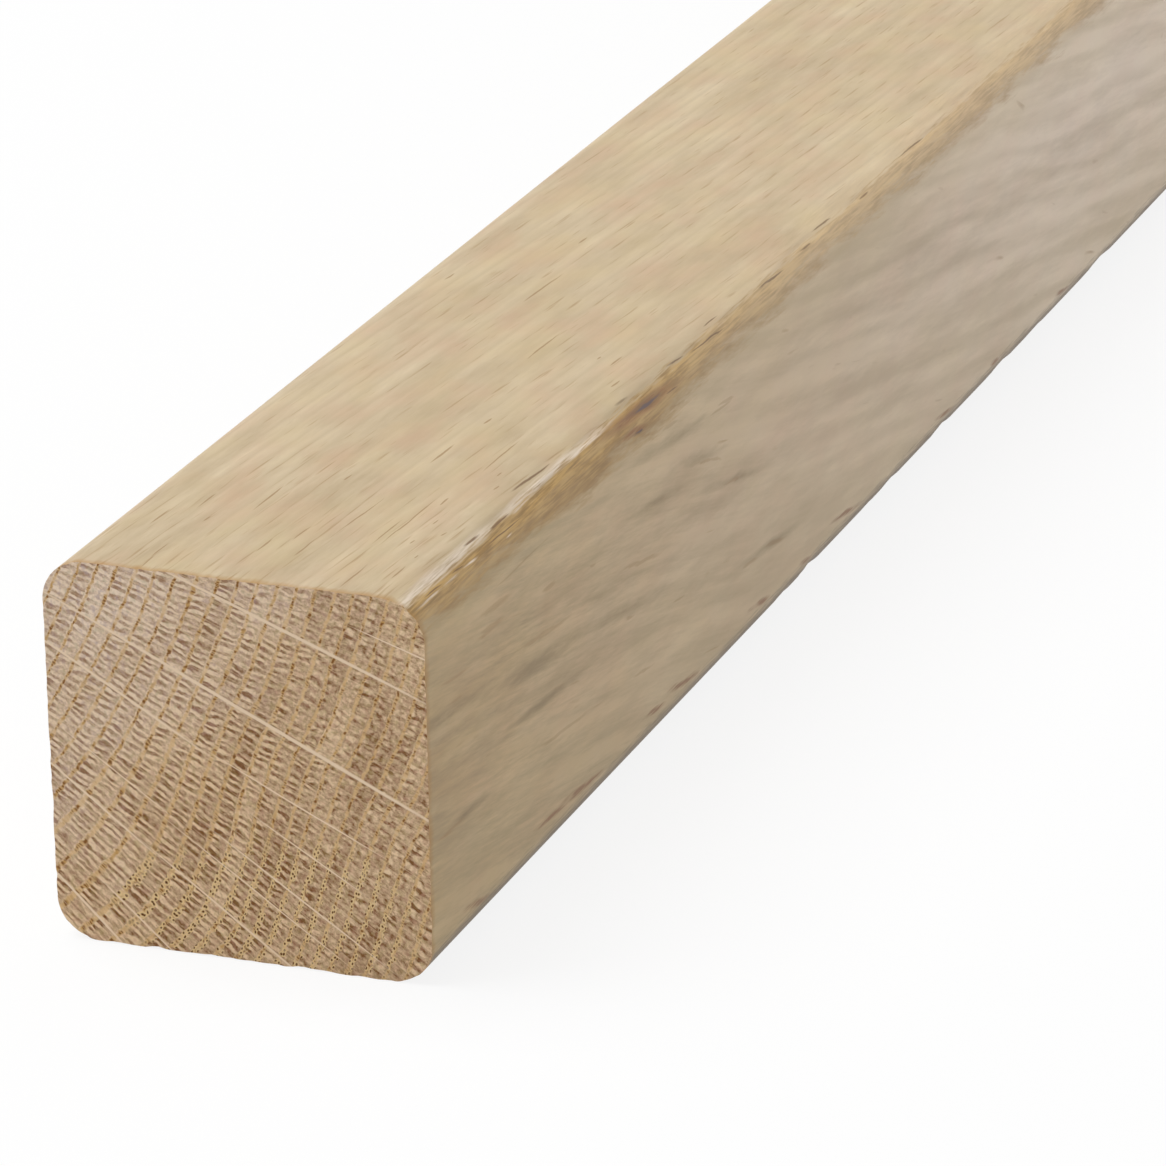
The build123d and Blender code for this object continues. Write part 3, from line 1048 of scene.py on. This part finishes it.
def sawn_oak():
    """Bare oak end grain, finely sawn: pores in the earlywood, dark bars of latewood
    between fine rays, and a few broad pale rays."""
    material, tree = new_material("sawn_oak")
    place, _, radius, turn, years = tree_place(tree)

    # Small wobbles keep the lines from looking ruled
    wobble = add(tree, "Mapping", place, Scale=scales(WOBBLES))
    wobble = add(tree, "TexNoise", wobble, Scale=1, Detail=1).outputs["Color"]
    wobble = add(tree, "VectorMath", wobble, (0.5, 0.5, 0.5), operation="SUBTRACT")
    wobble = add(tree, "SeparateXYZ", wobble)
    years = add(tree, "Math", wobble.outputs["X"], 0.22, years, operation="MULTIPLY_ADD")
    ring = add(tree, "Math", years, operation="FLOOR")
    phase = add(tree, "Math", years, operation="FRACT")

    # Distance round the tree at this ring, so that bars and pores keep their size
    enlarged = add(tree, "Math", ring, RING_PITCH / TURN_RADIUS, FIRST_MIDDLE / TURN_RADIUS,
                   operation="MULTIPLY_ADD")
    girdle = add(tree, "Math", turn, enlarged, operation="MULTIPLY")
    girdle = add(tree, "Math", wobble.outputs["Y"], 0.35, girdle, operation="MULTIPLY_ADD")
    rings = add(tree, "CombineXYZ", girdle, years)
    sway = add(tree, "Mapping", rings, Scale=scales(BAR_SWAY))
    sway = add(tree, "TexNoise", sway, noise_dimensions="2D", Scale=1, Detail=1)

    # Colour drifts over the end: paler and greyer at the upper back, darker at the lower front
    drift = add(tree, "Mapping", place, Scale=scales(DRIFTS))
    drift = add(tree, "TexNoise", drift, Scale=1, Detail=2)
    diagonal = (0, 1 / WIDTH, 1 / HEIGHT)
    corner = add(tree, "VectorMath", place, diagonal, operation="DOT_PRODUCT")
    corner = add(tree, "Math", corner.outputs["Value"], drift, operation="ADD")
    grey = add(tree, "MapRange", corner, 1.05, 1.75)
    light = add(tree, "Mix", grey, linear("#f2d4ae"), linear("#f6dfc6"), data_type="RGBA")
    dark = add(tree, "Mix", grey, linear("#80552f"), linear("#a88468"), data_type="RGBA")
    bars = latewood_bars(
        tree, place, rings, girdle, years, phase, sway, drift, wobble.outputs["Z"])

    # Fibre-sized speckle, and finer dust from the saw
    cells = add(tree, "Mapping", rings, Scale=scales(CELLS))
    cells = add(tree, "TexNoise", cells, noise_dimensions="2D", Scale=1, Detail=2)
    cells = add(tree, "Math", cells, -0.5, operation="ADD")
    dust = add(tree, "Mapping", place, Scale=scales(DUST))
    dust = add(tree, "TexNoise", dust, Scale=1, Detail=1)
    dust = add(tree, "Math", dust, -0.5, operation="ADD")
    shade = add(tree, "Math", cells, 1.1, bars, operation="MULTIPLY_ADD")
    shade = add(tree, "Math", dust, 0.5, shade, operation="MULTIPLY_ADD")

    # No two years are alike
    yearly = add(tree, "CombineXYZ", ring, girdle)
    yearly = add(tree, "Mapping", yearly, Scale=scales(YEAR_TONES))
    yearly = add(tree, "TexNoise", yearly, noise_dimensions="2D", Scale=1, Detail=0)
    shade = add(tree, "Math", yearly, 0.5, shade, operation="MULTIPLY_ADD")
    lower = add(tree, "MapRange", corner, 0.1, 1.7, 0.28, 0.1)
    side = add(tree, "SeparateXYZ", place).outputs["Y"]
    lower = add(tree, "Math", side, -0.0022, lower, operation="MULTIPLY_ADD")
    shade = add(tree, "Math", shade, lower, operation="ADD", use_clamp=True)
    colour = add(tree, "Mix", shade, light, dark, data_type="RGBA")
    colour = end_tints(tree, colour, place, grey)
    colour = ring_lines(tree, colour, girdle, ring, phase, sway, cells, grey)
    colour, hole = open_pores(tree, colour, place, girdle, ring, phase, drift)

    # Broad rays, and many fine ones
    wheel = add(tree, "CombineXYZ", radius, turn, 1)
    fine_rays = add(tree, "Mapping", wheel, Scale=scales(FINE_RAYS))
    fine_rays = add(tree, "TexNoise", fine_rays, noise_dimensions="2D", Scale=1, Detail=1)
    fine_rays = add(tree, "MapRange", fine_rays, 0.58, 0.75, 0, 0.5)
    colour = add(tree, "Mix", fine_rays, colour, linear("#e4c8a2"), data_type="RGBA")
    rays = marks(tree, wheel, BROAD_RAYS)
    rays = add(tree, "MapRange", rays, 0, 0.35, 0, 0.95)
    colour = add(tree, "Mix", rays, colour, linear("#f5dcbe"), data_type="RGBA")

    height = add(tree, "Math", hole, -1, operation="MULTIPLY")
    bump = add(tree, "Bump", Strength=0.3, Distance=0.05 * MM, Height=height)
    shader = add(tree, "BsdfPrincipled", Base_Color=colour, Roughness=0.8,
                 Specular_IOR_Level=0.25, Normal=bump)
    add(tree, "OutputMaterial", shader)
    return material


def handrail():
    """The rail, in the place of the plain solid."""
    mesh = rail_mesh()
    mesh.materials.append(planed_oak())
    mesh.materials.append(sawn_oak())
    rail = bpy.data.objects.new("handrail_oak", mesh)
    bpy.context.scene.collection.objects.link(rail)
    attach(rail, "root")
    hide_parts("handrail")


def seen_directly(tree):
    """1 for what the camera sees, itself or in a gloss or through glass."""
    path = add(tree, "LightPath")
    seen = add(tree, "Math", path.outputs["Is Camera Ray"], path.outputs["Is Glossy Ray"],
               operation="MAXIMUM")
    return add(tree, "Math", seen, path.outputs["Is Transmission Ray"], operation="MAXIMUM")


def floor():
    """A wide pale floor, which is white to the camera except for the rail's soft shadow."""
    material, tree = new_material("white_floor")
    seen = seen_directly(tree)
    white = add(tree, "Emission", (1, 1, 1, 1), FLOOR_WHITE)
    paper = add(tree, "BsdfDiffuse", (FLOOR_PAPER, FLOOR_PAPER, FLOOR_PAPER, 1))
    shown = add(tree, "AddShader", white, paper)
    lit = add(tree, "BsdfDiffuse", (FLOOR_GLOW, FLOOR_GLOW, FLOOR_GLOW, 1))
    mixed = add(tree, "MixShader", seen, lit, shown)
    add(tree, "OutputMaterial", mixed)
    mesh = bpy.data.meshes.new("floor")
    signs = ((-1, -1), (1, -1), (1, 1), (-1, 1))
    corners = [(x * FLOOR_REACH, y * FLOOR_REACH, 0) for x, y in signs]
    mesh.from_pydata(corners, [], [(0, 1, 2, 3)])
    mesh.materials.append(material)
    ground = bpy.data.objects.new("floor", mesh)
    bpy.context.scene.collection.objects.link(ground)


def lamp(name, place, target, width, height, power, colour="#ffffff"):
    """A soft rectangular lamp, aimed at a point. Sizes are in metres."""
    data = bpy.data.lights.new(name, "AREA")
    data.shape = "RECTANGLE"
    data.size = width
    data.size_y = height
    data.energy = power
    data.color = linear(colour)[:3]
    light = bpy.data.objects.new(name, data)
    light.location = place
    aim = Vector(target) - Vector(place)
    light.rotation_euler = aim.to_track_quat("-Z", "Y").to_euler()
    bpy.context.scene.collection.objects.link(light)


def lights():
    """Soft studio light: white all round, with the most from above and behind."""
    world = bpy.data.worlds.new("studio")
    world.use_nodes = True
    tree = world.node_tree
    tree.nodes.clear()
    seen = seen_directly(tree)
    dim = add(tree, "Background", (1, 1, 1, 1), STUDIO_STRENGTH)
    white = add(tree, "Background", (1, 1, 1, 1), 1.0)
    mixed = add(tree, "MixShader", seen, dim, white)
    add(tree, "OutputWorld", mixed)
    bpy.context.scene.world = world
    near = NEAR_END * MM
    lamp("overhead", place=(near - 0.1, 0.7, 1.5), target=(near + 0.1, 0, 0),
         width=1.2, height=1.2, power=20)
    lamp("front_strip", place=(near + 0.85, -0.6, 0.25), target=(near + 0.75, 0, 0.02),
         width=1.0, height=0.3, power=1.4, colour="#f2f5ff")


def camera():
    """The photographed view, from in front of the near end and above it."""
    data = bpy.data.cameras.new("camera")
    data.lens = LENS
    data.sensor_width = FILM_WIDTH
    view = bpy.data.objects.new("camera", data)
    view.location = (Vector((NEAR_END, 0, 0)) + Vector(CAMERA_PLACE)) * MM
    roll = Quaternion((0, 0, 1), math.radians(CAMERA_ROLL))
    view.rotation_euler = (Vector(CAMERA_AIM).to_track_quat("-Z", "Y") @ roll).to_euler()
    bpy.context.scene.collection.objects.link(view)
    bpy.context.scene.camera = view


handrail()
floor()
lights()
camera()
bpy.context.scene.view_settings.view_transform = "Standard"
